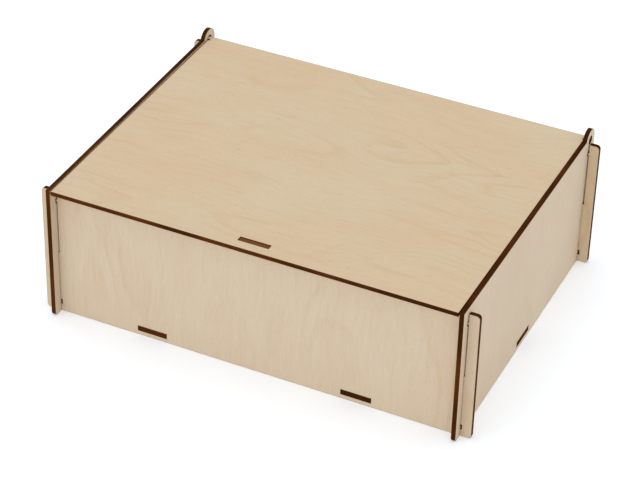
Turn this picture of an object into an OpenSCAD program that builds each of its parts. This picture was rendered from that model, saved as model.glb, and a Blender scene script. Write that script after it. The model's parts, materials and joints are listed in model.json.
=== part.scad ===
// Hinged-lid box of thin plywood, cut flat and slotted together without glue.
// The front and rear panels cross the side panels in half-lap slots, the floor
// is held by tabs, and the lid turns on two flat tabs in the ears of the sides.
// The closed lid is level with the sides at the front and dips a little to the rear.
// Frame: X along the length, Y from front to rear, Z up, origin under the middle.

/* [Sheet] */
// Thickness of the plywood sheet
ply = 3; // [2.8:0.1:3.2]
// Gap at each side of a slotted joint
fit_gap = 0.4; // [0.1:0.05:0.5]

/* [Box] */
// Length of the front and rear panels, tail to tail
box_length = 300; // [220:1:400]
// Depth of the side panels and of the closed lid, front to rear
box_depth = 225; // [150:1:320]
// Height of the side panels, without the ears
side_height = 98; // [70:1:140]
// Drop from the top of the side panels to the top of the tails
tail_drop = 4.5; // [4.5:0.1:8]
// How far crossing panels run past each other
overhang = 7.5; // [6:0.5:12]
// Radius of the rounded panel corners
corner_radius = 2.5; // [1:0.1:3]

/* [Floor] */
// Height of the floor's underside above the table
floor_height = 3.5; // [2:0.1:3.7]
// Width of a floor tab
tab_width = 20; // [12:1:30]
// Distance between the two tabs in the front panel
tab_spacing = 144; // [60:1:160]

/* [Lid] */
// How much lower the closed lid lies at its hinge than at its front edge
lid_dip = 1.1; // [0:0.1:1.5]
// Gap between the lid and each side panel
lid_gap = 0.7; // [0.4:0.1:1]
// Gap around the catch tab in the lid's slot
catch_gap = 0.5; // [0.3:0.1:0.8]
// Radius of the ears on the side panels
ear_radius = 8; // [7:0.5:9]
// Diameter of the pivot holes
pivot_hole = 6; // [5.9:0.1:6.6]
// Width of the lid's pivot tabs
pivot_tab = 4; // [3:0.1:4]

/* [Snaps] */
// Height of a snap window
window_height = 3.4; // [3:0.1:5]
// Distance from a snap window's middle to the panel's edge
window_inset = 7; // [6:0.5:12]
// How far a snap bump stands out of its slot's edge
bump_height = 0.75; // [0.5:0.05:0.9]

/* [Hidden] */
$fn = 48;

side_face = box_length / 2 - overhang;   // outer face of a side panel
side_mid = side_face - ply / 2;
panel_face = box_depth / 2 - overhang;   // outer face of the front or rear panel
panel_mid = panel_face - ply / 2;
inner_x = side_face - ply;
inner_y = panel_face - ply;
tail_height = side_height - tail_drop;
half_lap = tail_height / 2;              // height where the two slots meet
slot_width = ply + 2 * fit_gap;
rear_shift = 0.85 * fit_gap;             // rear slots lie this much further out
past = 1;                                // how far a cut runs past a face

window_reveal = 0.9;                     // window left open at each side of the crossing sheet
window_width = ply + 2 * window_reveal;
bump_radius = 1.4;
upper_window = tail_height - window_inset;

tab_recess = 0.3;                        // tab end below the outer face of its panel
floor_slot_z = floor_height + ply / 2;

pivot_y = box_depth / 2 - ear_radius;
pivot_z = side_height - ply / 2 - lid_dip;
lid_reach = pivot_y + box_depth / 2;     // hinge axis to the lid's front edge
lid_slope = lid_dip / lid_reach;
rest_gap = 0.1;                          // lid above the edge that it rests on
rest_top = side_height - ply - rest_gap - lid_slope * (box_depth / 2 - inner_y);
swing_gap = 0.5;                         // left under the lid's rear edge as it turns
rear_top = pivot_z - norm([pivot_tab, ply]) / 2 - swing_gap;
hole_lift = 0.4;                         // pivot tab lies this far below the hole's middle
relief = 1.2;                            // notch cut at the root of a pivot tab
relief_depth = 1;

plywood = [0.84, 0.76, 0.64];
plywood_side = [0.81, 0.74, 0.65];

// Rectangle between two corners, given as [x, y].
module box2d(low, high) {
    translate(low) square(high - low);
}

// What is cut from the corner at the origin of a sheet lying towards +X, +Y,
// so that the corner is left with a quarter circle.
module corner_waste(r) {
    difference() {
        translate([-past, -past]) square(r + past);
        translate([r, r]) circle(r);
    }
}

// Two half-round bumps, one on each edge of a slot that runs up and down.
module slot_bumps(at) {
    for (side = [-1, 1])
        translate([at[0] + side * (slot_width / 2 + bump_radius - bump_height), at[1]])
            circle(bump_radius);
}

// Window that the bumps of the crossing sheet snap into.
module snap_window(at) {
    translate(at) square([window_width, window_height], center = true);
}

// Slot for a floor tab, seen from outside the panel.
module floor_slot(across) {
    translate([across, floor_slot_z])
        square([tab_width + 2 * fit_gap, ply + 2 * fit_gap], center = true);
}

// Front and rear panels: length across, height up.  Slotted from the top, with
// the stretch between the two slots cut to its own height.
module long_outline(slot_mid, middle_top) {
    difference() {
        union() {
            box2d([-slot_mid, 0], [slot_mid, middle_top]);
            box2d([-box_length / 2, 0], [-slot_mid, tail_height]);
            box2d([slot_mid, 0], [box_length / 2, tail_height]);
        }
        for (side = [-1, 1]) {
            box2d([side * slot_mid - slot_width / 2, half_lap - fit_gap / 2],
                  [side * slot_mid + slot_width / 2, side_height]);
            snap_window([side * slot_mid, window_inset]);
        }
        for (side = [-1, 1], across = side * tab_spacing / 2) floor_slot(across);
        for (turn = [0, 1]) mirror([turn, 0]) {
            translate([-box_length / 2, 0]) corner_waste(corner_radius);
            translate([-box_length / 2, tail_height]) mirror([0, 1]) corner_waste(corner_radius);
        }
    }
    for (side = [-1, 1]) slot_bumps([side * slot_mid, upper_window]);
}

// Side panels: front to rear across, height up.  Slotted from the bottom.
module side_outline() {
    difference() {
        union() {
            box2d([-box_depth / 2, 0], [box_depth / 2, side_height]);
            translate([pivot_y, pivot_z]) circle(ear_radius);
        }
        for (side = [-1, 1]) {
            box2d([side * panel_mid - slot_width / 2, -past],
                  [side * panel_mid + slot_width / 2, half_lap + fit_gap / 2]);
            snap_window([side * panel_mid, upper_window]);
        }
        floor_slot(0);
        for (turn = [0, 1]) mirror([turn, 0])
            translate([-box_depth / 2, 0]) corner_waste(corner_radius);
        translate([pivot_y, pivot_z + hole_lift]) circle(d = pivot_hole);
    }
    for (side = [-1, 1]) slot_bumps([side * panel_mid, window_inset]);
}

// Stands an outline up across the box, its outer face at y = face.
module stand_across(face) {
    translate([0, face, 0]) rotate([90, 0, 0]) linear_extrude(ply) children();
}

// Stands an outline up along the depth, its lower X face at x = face.
module stand_along(face) {
    translate([face, 0, 0]) rotate([90, 0, 90]) linear_extrude(ply) children();
}

module front_panel() {
    color(plywood) stand_across(-panel_face + ply) {
        long_outline(side_mid, rest_top);
        box2d([-tab_width / 2, half_lap], [tab_width / 2, side_height - tab_recess]);
    }
}

module rear_panel() {
    color(plywood) stand_across(panel_face) long_outline(side_mid + rear_shift, rear_top);
}

module left_side_panel() {
    color(plywood_side) stand_along(-side_face) side_outline();
}

module right_side_panel() {
    color(plywood_side) stand_along(inner_x) side_outline();
}

module bottom_panel() {
    reach_x = side_face - tab_recess;
    reach_y = panel_face - tab_recess;
    edge_x = inner_x - fit_gap;
    edge_y = inner_y - fit_gap;
    half_tab = tab_width / 2;
    color(plywood) translate([0, 0, floor_height]) linear_extrude(ply) {
        box2d([-edge_x, -edge_y], [edge_x, edge_y]);
        box2d([-reach_x, -half_tab], [reach_x, half_tab]);
        for (side = [-1, 1], across = side * tab_spacing / 2)
            box2d([across - half_tab, -reach_y], [across + half_tab, reach_y]);
    }
}

// Laid out from the hinge axis, then tilted about it.
module lid() {
    edge_x = inner_x - lid_gap;
    tab_end = side_face - tab_recess;
    root = -pivot_tab / 2;
    slot_x = tab_width / 2 + catch_gap;
    slot_y = ply / 2 + catch_gap;
    color(plywood) translate([0, pivot_y, pivot_z]) rotate([-asin(lid_slope), 0, 0])
        translate([0, 0, -ply / 2]) linear_extrude(ply) difference() {
            union() {
                box2d([-edge_x, -lid_reach], [edge_x, -root]);
                box2d([-tab_end, root], [tab_end, -root]);
            }
            translate([0, -pivot_y - panel_mid]) box2d([-slot_x, -slot_y], [slot_x, slot_y]);
            for (turn = [0, 1]) mirror([turn, 0])
                box2d([edge_x - relief_depth, root - relief], [edge_x + past, root]);
        }
}

front_panel();
rear_panel();
left_side_panel();
right_side_panel();
bottom_panel();
lid();
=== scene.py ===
import json
import math

import bpy
import numpy as np
from mathutils import Matrix, Vector
from mathutils.geometry import delaunay_2d_cdt


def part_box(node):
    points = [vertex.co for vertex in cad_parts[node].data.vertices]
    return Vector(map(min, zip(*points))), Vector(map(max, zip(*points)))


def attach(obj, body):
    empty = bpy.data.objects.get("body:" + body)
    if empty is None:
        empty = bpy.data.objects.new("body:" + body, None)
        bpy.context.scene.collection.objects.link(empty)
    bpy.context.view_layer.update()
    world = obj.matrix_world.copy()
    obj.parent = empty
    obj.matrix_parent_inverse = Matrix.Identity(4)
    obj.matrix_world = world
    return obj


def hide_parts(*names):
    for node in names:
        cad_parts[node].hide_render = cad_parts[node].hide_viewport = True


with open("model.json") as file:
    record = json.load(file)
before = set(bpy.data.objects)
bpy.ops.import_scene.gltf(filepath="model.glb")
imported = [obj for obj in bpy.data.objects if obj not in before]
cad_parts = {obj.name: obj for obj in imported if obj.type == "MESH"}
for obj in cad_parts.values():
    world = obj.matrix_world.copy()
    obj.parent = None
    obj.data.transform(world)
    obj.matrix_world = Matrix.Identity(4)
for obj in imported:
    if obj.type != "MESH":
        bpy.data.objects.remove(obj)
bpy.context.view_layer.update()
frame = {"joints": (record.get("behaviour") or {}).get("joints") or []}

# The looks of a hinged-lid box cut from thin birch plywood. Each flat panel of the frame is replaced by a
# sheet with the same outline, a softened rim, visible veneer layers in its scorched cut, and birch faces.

MM = 0.001

# ---- Sizes, read from the frame or fixed by the way the box is cut ----

rear_low, rear_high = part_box("rear_panel")
side_low, side_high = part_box("right_side_panel")
floor_low, floor_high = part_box("bottom_panel")
front_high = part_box("front_panel")[1]
lid_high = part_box("lid")[1]
pivot = Vector(frame["joints"][0]["pos_m"])

ply = rear_high.y - rear_low.y
half_length = rear_high.x
half_depth = side_high.y
side_height = lid_high.z
tail_height = rear_high.z
side_mid = side_high.x - ply / 2
panel_mid = rear_high.y - ply / 2
inner_x = side_low.x
inner_y = rear_low.y
floor_mid = (floor_low.z + floor_high.z) / 2

fit_gap = 0.4 * MM              # at each side of a slotted joint
slot_width = ply + 2 * fit_gap
half_lap = tail_height / 2      # height where two crossing slots meet
rear_mid = side_mid + 0.85 * fit_gap   # the rear slots lie a little further out
corner_radius = 2.5 * MM
tab_width = 20 * MM
tab_offset = 72 * MM            # middle of the box to the middle of a floor tab
window_height = 3.4 * MM
window_width = ply + 1.8 * MM
window_inset = 7 * MM
upper_window = tail_height - window_inset
bump_radius = 1.4 * MM
bump_height = 0.75 * MM

ear_radius = half_depth - pivot.y
pivot_hole = 3 * MM             # radius
hole_lift = 0.4 * MM            # the hole's middle above the hinge axis
pivot_tab = 4 * MM
catch_gap = 0.5 * MM
lid_gap = 0.7 * MM
relief = 1.2 * MM
relief_depth = 1 * MM
lid_reach = half_depth + pivot.y
lid_slope = (side_height - ply / 2 - pivot.z) / lid_reach
rest_gap = 0.1 * MM             # left under the closed lid
rest_top = side_height - ply - rest_gap - lid_slope * (half_depth - inner_y)
swing_gap = 0.5 * MM            # left under the lid's rear edge as it turns
rear_top = pivot.z - math.hypot(pivot_tab, ply) / 2 - swing_gap

ARC_STEP = 5                    # degrees between the points of a round stretch
SOFTENING = 0.12 * MM           # radius of the rim between a face and its cut
RIM_POINTS = 4                  # round that rim
GROOVE_DEPTH = 0.05 * MM        # of the line where two veneers meet
GROOVE_HALF = 0.07 * MM         # half the width of that line
SCORCH_REACH = 0.6 * MM         # how far the cut's browning runs onto a face
SHARP_ANGLE = math.radians(38)  # between faces that aren't shaded as one
SAME_POINT = 1e-9               # metres between points that count as one
TAB_HIGHLIGHT_DEPTH = 0.3 * MM            # how far down the catch tab's end the painted highlight on its char reaches
TAB_HIGHLIGHT_FADE = 0.2 * MM


# ---- Outlines: closed runs of points with the sheet on their left ----

def arc(middle, radius, start, end):
    """Points round a circle at equal angles: middle + radius * (cos angle, sin angle), in degrees."""
    steps = max(2, round(abs(end - start) / ARC_STEP))
    angles = np.radians(np.linspace(start, end, steps + 1))
    return np.array(middle) + radius * np.column_stack([np.cos(angles), np.sin(angles)])


def run(*points):
    """Corner points, as an array with one row each."""
    return np.array(points, float)


def opening(across, up, width, height):
    """A rectangle about its middle, run clockwise so that the sheet lies outside it."""
    left, right = across - width / 2, across + width / 2
    low, high = up - height / 2, up + height / 2
    return run((left, low), (left, high), (right, high), (right, low))


def bump(across, up, side):
    """The round of a snap bump on a slot's edge. Its circle's middle lies inside the sheet, so that only
    bump_height stands out. side is +1 on the edge with the sheet on its right, which runs downwards."""
    spread = math.degrees(math.acos(1 - bump_height / bump_radius))
    facing = 180 if side > 0 else 0
    middle = (across + side * (bump_radius - bump_height), up)
    return arc(middle, bump_radius, facing - spread, facing + spread)


def slot_from_top(middle, right_top, left_top):
    """A slot open at the top, run from right to left: down its right edge, across and up its left one."""
    right, left = middle + slot_width / 2, middle - slot_width / 2
    bottom = half_lap - fit_gap / 2
    return np.vstack([run((right, right_top)), bump(right, upper_window, 1),
                      run((right, bottom), (left, bottom)),
                      bump(left, upper_window, -1), run((left, left_top))])


def slot_from_bottom(middle):
    """A slot open at the bottom, run from left to right: up its left edge, across and down its right one."""
    right, left = middle + slot_width / 2, middle - slot_width / 2
    top = half_lap + fit_gap / 2
    return np.vstack([run((left, 0)), bump(left, window_inset, -1),
                      run((left, top), (right, top)),
                      bump(right, window_inset, 1), run((right, 0))])


def bottom_corners(half):
    """The two rounded corners at the foot of a panel, as the start and the end of its lower edge."""
    r = corner_radius
    return arc((r - half, r), r, 180, 270), arc((half - r, r), r, 270, 360)


def long_outline(slot_mid, middle_top, tab):
    """Front and rear panels, length across and height up. Between the half-lap slots, slot_mid either side
    of the middle, the top edge is at middle_top, with the tab's points in its middle."""
    r = corner_radius
    top_right = arc((half_length - r, tail_height - r), r, 0, 90)
    top_left = arc((r - half_length, tail_height - r), r, 90, 180)
    return np.vstack([*bottom_corners(half_length), top_right,
                      slot_from_top(slot_mid, tail_height, middle_top), tab,
                      slot_from_top(-slot_mid, middle_top, tail_height), top_left])


def floor_slot(across):
    """The slot in an upright panel that takes a tab of the floor."""
    return opening(across, floor_mid, tab_width + 2 * fit_gap, slot_width)


def snap_window(across, up):
    """The window that the bumps of the crossing sheet snap into."""
    return opening(across, up, window_width, window_height)


def long_openings(slot_mid):
    """The floor slots and the lower snap windows of a front or rear panel."""
    made = []
    for side in (-1, 1):
        made += [floor_slot(side * tab_offset), snap_window(side * slot_mid, window_inset)]
    return made


def catch_tab():
    """The tab on the front panel's top edge that stands in the lid's slot, from right to left."""
    half, top = tab_width / 2, front_high.z
    return run((half, rest_top), (half, top), (-half, top), (-half, rest_top))


def side_outline():
    """Side panels, depth across and height up: two slots from below and the ear at the top rear."""
    left_foot, right_foot = bottom_corners(half_depth)
    ear_end = 180 - math.degrees(math.asin((side_height - pivot.z) / ear_radius))
    ear = arc((pivot.y, pivot.z), ear_radius, 0, ear_end)
    return np.vstack([left_foot, slot_from_bottom(-panel_mid), slot_from_bottom(panel_mid), right_foot,
                      ear, run((-half_depth, side_height))])


def side_openings():
    """The floor slot, the pivot hole and the upper snap windows of a side panel."""
    hole = arc((pivot.y, pivot.z + hole_lift), pivot_hole, 360, 0)[:-1]
    return [floor_slot(0), hole, *(snap_window(side * panel_mid, upper_window) for side in (-1, 1))]


def floor_outline():
    """The floor: a rectangle with two tabs on each long edge and one on each short edge. The half with the
    front and right-hand edges, turned half a circle, is the other half."""
    edge_x, edge_y, half_tab = inner_x - fit_gap, inner_y - fit_gap, tab_width / 2
    tab_end_x, tab_end_y = floor_high.x, floor_high.y
    half = [run((-edge_x, -edge_y))]
    for middle in (-tab_offset, tab_offset):
        left, right = middle - half_tab, middle + half_tab
        half.append(run((left, -edge_y), (left, -tab_end_y), (right, -tab_end_y), (right, -edge_y)))
    half.append(run((edge_x, -edge_y), (edge_x, -half_tab), (tab_end_x, -half_tab), (tab_end_x, half_tab),
                    (edge_x, half_tab)))
    half = np.vstack(half)
    return np.vstack([half, -half])


def lid_outline():
    """The lid, laid out from the hinge axis: a rectangle with a pivot tab at each rear corner and a relief
    notch at each tab's root."""
    edge_x, tab_end, half_tab = inner_x - lid_gap, lid_high.x, pivot_tab / 2
    notch_x, notch_y = edge_x - relief_depth, -half_tab - relief
    right = run((edge_x, -lid_reach), (edge_x, notch_y), (notch_x, notch_y), (notch_x, -half_tab),
                (tab_end, -half_tab), (tab_end, half_tab))
    return np.vstack([right, (right * (-1, 1))[::-1]])


# ---- Sheets: a rim profile carried round each outline, closed by two flat faces ----

def rim_profile():
    """Inset into the sheet and depth through it, from one face round the cut to the other: flat, then a
    quarter circle of the softening radius, then the cut with a shallow groove at each glue line. Also the
    browning, which falls evenly from 1 at the cut, and whether the stretch that starts there is the cut."""
    turn = np.radians(np.linspace(0, 90, RIM_POINTS))
    flat = run((SCORCH_REACH, 0), (SCORCH_REACH / 2, 0))
    corner = SOFTENING * np.column_stack([1 - np.sin(turn), 1 - np.cos(turn)])
    line = ply / 3
    groove = run((0, line - GROOVE_HALF), (GROOVE_DEPTH, line), (0, line + GROOVE_HALF))
    near = np.vstack([flat, corner, groove])
    far = (near * (1, -1) + (0, ply))[::-1]
    places = np.vstack([near, far])
    browning = 1 - places[:, 0] / SCORCH_REACH
    is_cut = np.ones(len(places) - 1, int)
    is_cut[:len(flat)] = 0
    is_cut[-len(flat):] = 0
    return places, browning, is_cut


def inward(loop):
    """At each corner of a closed run, the vector that moves both of its edges one unit to the left."""
    ahead = np.roll(loop, -1, axis=0) - loop
    ahead /= np.linalg.norm(ahead, axis=1)[:, None]
    left = np.column_stack([-ahead[:, 1], ahead[:, 0]])
    before = np.roll(left, 1, axis=0)
    return (left + before) / (1 + np.sum(left * before, axis=1))[:, None]


def carried_rim(loop, profile):
    """The rim profile carried round an outline: each corner is moved inwards by the profile's inset, at the
    profile's depth. Gives the points as (across, up, depth), the quads between them, and each quad's four
    places as (distance round the outline, depth)."""
    count, rows = len(loop), len(profile)
    inset, depth = profile.T
    flat = loop[:, None, :] + inward(loop)[:, None, :] * inset[None, :, None]
    points = np.dstack([flat, np.broadcast_to(depth, (count, rows))]).reshape(-1, 3)

    corner, row = (grid.ravel() for grid in np.indices((count, rows - 1)))
    here, after = corner * rows + row, (corner + 1) % count * rows + row
    quads = np.column_stack([here, after, after + 1, here + 1])

    steps = np.linalg.norm(np.roll(loop, -1, axis=0) - loop, axis=1)
    travel = np.concatenate([[0], np.cumsum(steps)])
    distance = travel[np.column_stack([corner, corner + 1, corner + 1, corner])]
    through = depth[np.column_stack([row, row, row + 1, row + 1])]
    return points, quads, np.dstack([distance, through])


def flat_face(rings):
    """Triangles that fill the first ring and leave the others open, as indices into the joined rings.
    A triangle stays when its middle is inside an odd number of rings, counted by a ray to the right."""
    points = np.vstack(rings)
    edges = []
    first = 0
    for ring in rings:
        here = first + np.arange(len(ring))
        edges.append(np.column_stack([here, np.roll(here, -1)]))
        first += len(ring)
    edges = np.vstack(edges)
    found = delaunay_2d_cdt([Vector(point) for point in points], edges.tolist(), [], 0, SAME_POINT)
    source = np.array([origin[0] for origin in found[3]])
    triangles = np.array(found[2])
    middle = np.array([list(vertex) for vertex in found[0]])[triangles].mean(axis=1)
    a, b = points[edges[:, 0]], points[edges[:, 1]]
    spans = (a[:, 1] > middle[:, 1:2]) != (b[:, 1] > middle[:, 1:2])
    rise = np.where(b[:, 1] == a[:, 1], 1, b[:, 1] - a[:, 1])
    crossing = a[:, 0] + (middle[:, 1:2] - a[:, 1]) * (b[:, 0] - a[:, 0]) / rise
    inside = (spans & (crossing > middle[:, :1])).sum(axis=1) % 2 == 1
    return source[triangles[inside]]


def sheet_mesh(name, loops, start, across, up):
    """A sheet's mesh from its outline and openings. across and up are the outline's axes, and their cross
    product is the way through the sheet: each point is start + a * across + b * up + depth * through.
    It carries its places along the cut as cut_place and its browning as scorch."""
    profile, browning, is_cut = rim_profile()
    rows = len(profile)
    points, quads, places = [], [], []
    first = 0
    for loop in loops:
        rim_points, rim_quads, rim_places = carried_rim(loop, profile)
        points.append(rim_points)
        quads.append(rim_quads + first)
        places.append(rim_places)
        first += len(rim_points)

    rings = [loop + inward(loop) * profile[0, 0] for loop in loops]
    triangles = flat_face(rings)
    near, far = triangles[:, ::-1], triangles
    faces = [*np.vstack(quads).tolist(), *(near * rows).tolist(), *(far * rows + rows - 1).tolist()]
    corners = first // rows
    plate = np.vstack(rings)

    axes = np.array([across, up, np.cross(across, up)])
    mesh = bpy.data.meshes.new(name)
    mesh.from_pydata((np.array(start) + np.vstack(points) @ axes).tolist(), [], faces)
    slots = np.concatenate([np.tile(is_cut, corners), np.zeros(2 * len(triangles), int)])
    mesh.polygons.foreach_set("material_index", slots.astype(np.int32))
    all_places = np.concatenate([np.vstack(places).ravel(), plate[near].ravel(), plate[far].ravel()])
    mesh.uv_layers.new(name="cut_place").uv.foreach_set("vector", all_places.astype(np.float32))
    scorch = mesh.attributes.new("scorch", "FLOAT", "POINT")
    scorch.data.foreach_set("value", np.tile(browning, corners).astype(np.float32))
    mesh.polygons.foreach_set("use_smooth", np.ones(len(faces), bool))
    mesh.update()
    mesh.set_sharp_from_angle(angle=SHARP_ANGLE)
    return mesh


def cut_sheet(mesh, node, body, face, cut):
    """A plywood sheet in place of a CAD panel, with the finishes of its two faces and of its cut."""
    mesh.materials.append(face)
    mesh.materials.append(cut)
    piece = bpy.data.objects.new(mesh.name, mesh)
    bpy.context.scene.collection.objects.link(piece)
    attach(piece, body)
    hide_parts(node)


# ---- Shader maths ----

def shade(red, green, blue):
    """A display colour, 0 to 255 a channel, as the linear colour that a shader takes."""
    parts = np.array([red, green, blue]) / 255
    linear = np.where(parts <= 0.04045, parts / 12.92, ((parts + 0.055) / 1.055) ** 2.4)
    return (*linear.tolist(), 1.0)


def both_ways(operation):
    """An operator between a wire and a wire or number, and its reflected form. Each adds one Math node."""
    def forward(self, other):
        return self.finish.maths(operation, self, other)

    def reflected(self, other):
        return self.finish.maths(operation, other, self)

    return forward, reflected


class Wire:
    """A node's output that can be used in arithmetic."""

    def __init__(self, finish, socket):
        self.finish = finish
        self.socket = socket

    __add__, __radd__ = both_ways("ADD")
    __sub__, __rsub__ = both_ways("SUBTRACT")
    __mul__, __rmul__ = both_ways("MULTIPLY")
    __truediv__, __rtruediv__ = both_ways("DIVIDE")
    __pow__, __rpow__ = both_ways("POWER")


class Finish:
    """A material being built: its nodes, and a Principled shader to feed."""

    def __init__(self, name, **constants):
        self.material = bpy.data.materials.new(name)
        self.material.use_nodes = True
        self.tree = self.material.node_tree
        self.surface(**constants)

    def surface(self, **values):
        """Feeds the shader's sockets, named with _ for a space."""
        shader = self.tree.nodes["Principled BSDF"]
        for name, value in values.items():
            self.feed(shader.inputs[name.replace("_", " ")], value)

    def feed(self, target, value):
        """Links a wire to a socket, or sets the socket to a plain value."""
        if isinstance(value, Wire):
            self.tree.links.new(value.socket, target)
        else:
            target.default_value = value

    def node(self, kind, settings, sockets, out=0):
        """Any node: its settings first, then the values or links of its sockets. Returns one output."""
        made = self.tree.nodes.new(kind)
        for key, value in settings.items():
            setattr(made, key, value)
        for key, value in sockets.items():
            self.feed(made.inputs[key], value)
        return Wire(self, made.outputs[out])

    def maths(self, operation, *values):
        return self.node("ShaderNodeMath", {"operation": operation}, dict(enumerate(values)))

    def place(self):
        return self.node("ShaderNodeTexCoord", {}, {}, "Object")

    def parts(self, where):
        """The X, Y and Z of a place."""
        split = self.node("ShaderNodeSeparateXYZ", {}, {0: where})
        return [Wire(self, output) for output in split.socket.node.outputs]

    def vector(self, x, y, z):
        return self.node("ShaderNodeCombineXYZ", {}, {0: x, 1: y, 2: z})

    def noise(self, where, detail, roughness=0.5, scale=1.0):
        sockets = {"Vector": where, "Scale": scale, "Detail": detail, "Roughness": roughness}
        return self.node("ShaderNodeTexNoise", {}, sockets)

    def step(self, value, low, high):
        """Rises smoothly from 0 at low to 1 at high."""
        return self.node("ShaderNodeMapRange", {"interpolation_type": "SMOOTHSTEP"},
                         {"Value": value, "From Min": low, "From Max": high})

    def mix(self, factor, first, second):
        """The first colour at factor 0, the second at 1."""
        settings = {"data_type": "RGBA", "clamp_factor": True}
        return self.node("ShaderNodeMix", settings, {0: factor, 6: first, 7: second}, 2)

    def bump(self, height, distance, strength):
        sockets = {"Height": height, "Distance": distance, "Strength": strength}
        return self.node("ShaderNodeBump", {}, sockets)


# ---- Finishes ----

PALE_BIRCH = shade(213, 196, 170)
GROWTH_TAN = shade(200, 166, 120)
STREAK_TAN = shade(190, 160, 120)
FIBRE_TAN = shade(184, 154, 116)
PORE_BROWN = shade(166, 132, 92)
FLECK_BROWN = shade(160, 118, 78)
SMOKE_BROWN = shade(92, 54, 26)

CHAR_BROWN = shade(102, 54, 15)
CHAR_DARK = shade(70, 35, 5)
CHAR_LINE = shade(50, 24, 3)
CHAR_FIBRE = shade(130, 80, 36)
CHAR_CORE = shade(50, 24, 4)
# A lighter char brown, used as a painted highlight on the catch tab's top end.
CHAR_HIGHLIGHT = shade(130, 88, 54)
GLUE_BLACK = shade(24, 9, 1)

WHITE = (1, 1, 1, 1)
FLOOR_DIM = (0.86, 0.905, 0.965, 1)
FLOOR_BRIGHT = (0.88, 0.925, 0.985, 1)


def birch_face(name, grain, across, seed, light, warm, swirl):
    """Sanded birch veneer. grain and across are 0, 1 or 2 for X, Y or Z. The flames are one stretched noise,
    read at the place across the grain after slow noise has pushed it about, and cut into even steps: each
    step is a growth band that ends in a thin tan line, as the rings do where the knife peels them."""
    finish = Finish(name, Specular_IOR_Level=0.22)
    place = finish.parts(finish.place())
    along, over = place[grain], place[across]

    def cells(first, first_rate, second, second_rate, layer, detail=2.0, roughness=0.5):
        """Noise with so many cells a metre in each of two directions, on a layer of its own."""
        where = finish.vector(first * first_rate, second * second_rate, seed + layer)
        return finish.noise(where, detail, roughness)

    slow = cells(along, 8, over, 9, 0, 1.0)
    ripple = cells(along, 30, over, 26, 3, 1.0)
    pushed = over + (slow - 0.5) * swirl + (ripple - 0.5) * (swirl * 0.25)

    flame = cells(pushed, 22, along, 5, 7, 1.0, 0.45)
    band = finish.maths("FRACT", flame * 11)
    line_strength = finish.step(cells(along, 12, over, 20, 9), 0.44, 0.70)
    growth_line = finish.step(band, 0.50, 0.88) * (1 - finish.step(band, 0.88, 1.0)) * line_strength

    patch = cells(pushed, 48, along, 16, 11)
    drift = cells(along, 9, over, 14, 17)
    streak = cells(pushed, 420, along, 18, 21, 2.0, 0.55)
    fibre = cells(pushed, 1900, along, 70, 23, 3.0, 0.6)
    pore = finish.step(cells(pushed, 3200, along, 300, 29, 1.0), 0.60, 0.76)
    fleck = finish.step(cells(pushed, 900, along, 150, 31, 0.0), 0.80, 0.90)
    smoke = cells(along, 160, over, 160, 37)
    scorch = finish.node("ShaderNodeAttribute", {"attribute_name": "scorch"}, {}, "Fac")

    colour = finish.mix(finish.step(patch, 0.20, 0.80), light, warm)
    for amount, tint in ((finish.step(drift, 0.35, 0.75) * 0.5, PALE_BIRCH),
                         (growth_line * 0.30, GROWTH_TAN),
                         (finish.step(streak, 0.40, 0.80) * 0.13, STREAK_TAN),
                         (finish.step(fibre, 0.30, 0.80) * 0.18, FIBRE_TAN),
                         (pore * 0.24, PORE_BROWN),
                         (fleck * 0.22, FLECK_BROWN),
                         (scorch ** 2.2 * (0.35 + smoke * 0.8), SMOKE_BROWN)):
        colour = finish.mix(amount, colour, tint)

    height = fibre * 0.5 - pore * 0.6 - growth_line * 0.25
    finish.surface(Base_Color=colour,
                   Roughness=0.52 + fibre * 0.10 + drift * 0.06 - growth_line * 0.05,
                   Normal=finish.bump(height, 0.06 * MM, 0.55))
    return finish.material


def scorched_cut(name, highlight_above=None):
    """The laser-cut edge: brown char with fine lines across the thickness, darker in the middle veneer,
    whose fibres end at the cut, and black along the glue lines. Read along the cut and through the sheet.
    Above a given height, if there is one, the char is painted lighter: a painted highlight, as on the catch
    tab's up-facing end."""
    finish = Finish(name, Specular_IOR_Level=0.02)
    travel, depth, _ = finish.parts(finish.node("ShaderNodeUVMap", {"uv_map": "cut_place"}, {}, "UV"))
    spread = finish.noise(finish.place(), 2.0, 0.5, 24)
    line = finish.noise(finish.vector(travel * 3400, depth * 260, 1), 2.0, 0.6)
    fibre = finish.noise(finish.vector(travel * 320, depth * 1500, 5), 3.0, 0.6)
    from_middle = finish.maths("ABSOLUTE", depth / ply - 0.5)
    core = 1 - finish.step(from_middle, 0.13, 0.19)
    glue = 1 - finish.step(finish.maths("ABSOLUTE", from_middle - 1 / 6), 0.008, 0.035)

    colour = finish.mix(finish.step(spread, 0.35, 0.65), CHAR_BROWN, CHAR_DARK)
    colour = finish.mix(finish.step(line, 0.35, 0.7) * 0.5, colour, CHAR_LINE)
    colour = finish.mix(finish.step(fibre, 0.55, 0.8) * 0.3, colour, CHAR_FIBRE)
    colour = finish.mix(core * 0.4, colour, CHAR_CORE)
    # Painted highlight: the cut is painted lighter towards its top, where the catch tab's end faces up to
    # the lamp above.
    if highlight_above is not None:
        height = finish.parts(finish.place())[2]
        painted_highlight = finish.step(height, highlight_above, highlight_above + TAB_HIGHLIGHT_FADE)
        colour = finish.mix(painted_highlight * (0.6 - glue * 0.4), colour, CHAR_HIGHLIGHT)
    colour = finish.mix(glue * 0.6, colour, GLUE_BLACK)
    finish.surface(Base_Color=colour,
                   Roughness=0.58 + line * 0.25,
                   Normal=finish.bump(line + fibre * 0.5, 0.12 * MM, 0.8))
    return finish.material


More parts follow.
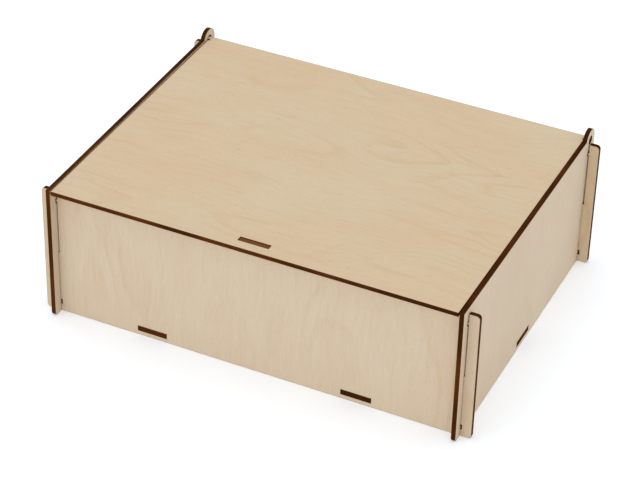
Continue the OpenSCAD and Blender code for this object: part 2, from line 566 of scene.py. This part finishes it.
def pale_floor():
    """The plain surface that the box stands on, near white, with the faintest mottling."""
    finish = Finish("pale_floor", Roughness=0.9, Specular_IOR_Level=0.1,
                    Emission_Color=WHITE, Emission_Strength=0.23)
    mottle = finish.noise(finish.place(), 2.0, 0.5, 3)
    finish.surface(Base_Color=finish.mix(mottle, FLOOR_DIM, FLOOR_BRIGHT))
    return finish.material


# ---- The box ----

X, Y, Z = (1, 0, 0), (0, 1, 0), (0, 0, 1)
cream, warm_cream = shade(211, 192, 161), shade(213, 188, 155)
cool_cream, cool_warm = shade(207, 189, 165), shade(205, 185, 159)
pink_cream, dull_cream = shade(212, 194, 169), shade(211, 190, 164)
cut = scorched_cut("scorched_cut")
# The front sheet's cut, with a painted highlight at the top of its catch tab.
tab_cut = scorched_cut("highlit_tab_cut", highlight_above=front_high.z - TAB_HIGHLIGHT_DEPTH)
plain_edge = np.empty((0, 2))

front = sheet_mesh("front_sheet", [long_outline(side_mid, rest_top, catch_tab()), *long_openings(side_mid)],
                   (0, front_high.y, 0), X, Z)
cut_sheet(front, "front_panel", "case",
          birch_face("birch_front", 2, 0, 4.2, pink_cream, dull_cream, 0.030), tab_cut)

rear = sheet_mesh("rear_sheet", [long_outline(rear_mid, rear_top, plain_edge), *long_openings(rear_mid)],
                  (0, rear_high.y, 0), X, Z)
cut_sheet(rear, "rear_panel", "case",
          birch_face("birch_rear", 2, 0, 61.5, cream, warm_cream, 0.022), cut)

left_side = sheet_mesh("left_side_sheet", [side_outline(), *side_openings()], (-side_high.x, 0, 0), Y, Z)
cut_sheet(left_side, "left_side_panel", "case",
          birch_face("birch_left", 2, 1, 23.1, cool_cream, cool_warm, 0.012), cut)

right_side = sheet_mesh("right_side_sheet", [side_outline(), *side_openings()], (side_low.x, 0, 0), Y, Z)
cut_sheet(right_side, "right_side_panel", "case",
          birch_face("birch_right", 2, 1, 37.8, cool_cream, cool_warm, 0.010), cut)

floor = sheet_mesh("floor_sheet", [floor_outline()], (0, 0, floor_low.z), X, Y)
cut_sheet(floor, "bottom_panel", "case",
          birch_face("birch_floor", 0, 1, 48.9, cream, warm_cream, 0.025), cut)

tilt = math.asin(lid_slope)
lid_back = (0, math.cos(tilt), -math.sin(tilt))
lid_under = pivot - Vector((0, math.sin(tilt), math.cos(tilt))) * (ply / 2)
catch_slot = opening(0, -pivot.y - panel_mid, tab_width + 2 * catch_gap, ply + 2 * catch_gap)
lid = sheet_mesh("lid_sheet", [lid_outline(), catch_slot], lid_under, X, lid_back)
cut_sheet(lid, "lid", "lid",
          birch_face("birch_lid", 0, 1, 12.4, cream, warm_cream, 0.034), cut)


# ---- Floor, light and camera ----

def pale_stage(reach):
    """A flat square to stand on, reaching so far each way that its edges are out of sight."""
    mesh = bpy.data.meshes.new("stage_floor")
    corners = [(-reach, -reach, 0), (reach, -reach, 0), (reach, reach, 0), (-reach, reach, 0)]
    mesh.from_pydata(corners, [], [(0, 1, 2, 3)])
    mesh.materials.append(pale_floor())
    stage = bpy.data.objects.new("stage_floor", mesh)
    bpy.context.scene.collection.objects.link(stage)


def soft_light(name, place, aim, size, power):
    """A square lamp at a place, turned to shine at a point."""
    lamp = bpy.data.lights.new(name, "AREA")
    lamp.size = size
    lamp.energy = power
    holder = bpy.data.objects.new(name, lamp)
    holder.location = place
    holder.rotation_euler = (Vector(aim) - Vector(place)).to_track_quat("-Z", "Y").to_euler()
    bpy.context.scene.collection.objects.link(holder)


def studio(brightness):
    """White surroundings, one broad lamp above and a weaker one from the front left."""
    world = bpy.data.worlds.new("studio_white")
    world.use_nodes = True
    backdrop = world.node_tree.nodes["Background"]
    backdrop.inputs["Color"].default_value = WHITE
    backdrop.inputs["Strength"].default_value = brightness
    bpy.context.scene.world = world
    bpy.context.scene.view_settings.view_transform = "Standard"
    soft_light("overhead_lamp", place=(-0.2, -0.1, 1.8), aim=(0, 0, 0), size=2.2, power=4.5)
    soft_light("front_lamp", place=(-1.3, -1.7, 1.2), aim=(0, 0, 0.05), size=1.5, power=2.5)


def box_camera(place, aim, roll, lens):
    """A camera at a place that looks at a point, rolled by some degrees."""
    camera_data = bpy.data.cameras.new("view_camera")
    camera_data.lens = lens
    camera_data.clip_start = 0.05
    camera_data.clip_end = 20
    camera = bpy.data.objects.new("view_camera", camera_data)
    level = (Vector(aim) - Vector(place)).to_track_quat("-Z", "Y").to_matrix()
    turned = level @ Matrix.Rotation(math.radians(roll), 3, "Z")
    camera.matrix_world = Matrix.Translation(place) @ turned.to_4x4()
    bpy.context.scene.collection.objects.link(camera)
    bpy.context.scene.camera = camera


pale_stage(reach=4.0)
studio(brightness=0.92)
# The three-quarter view from the front right and above, with a long lens.
box_camera(place=(0.522, -1.158, 0.932), aim=(0.0034, -0.0142, 0.045), roll=1.64, lens=132.7)
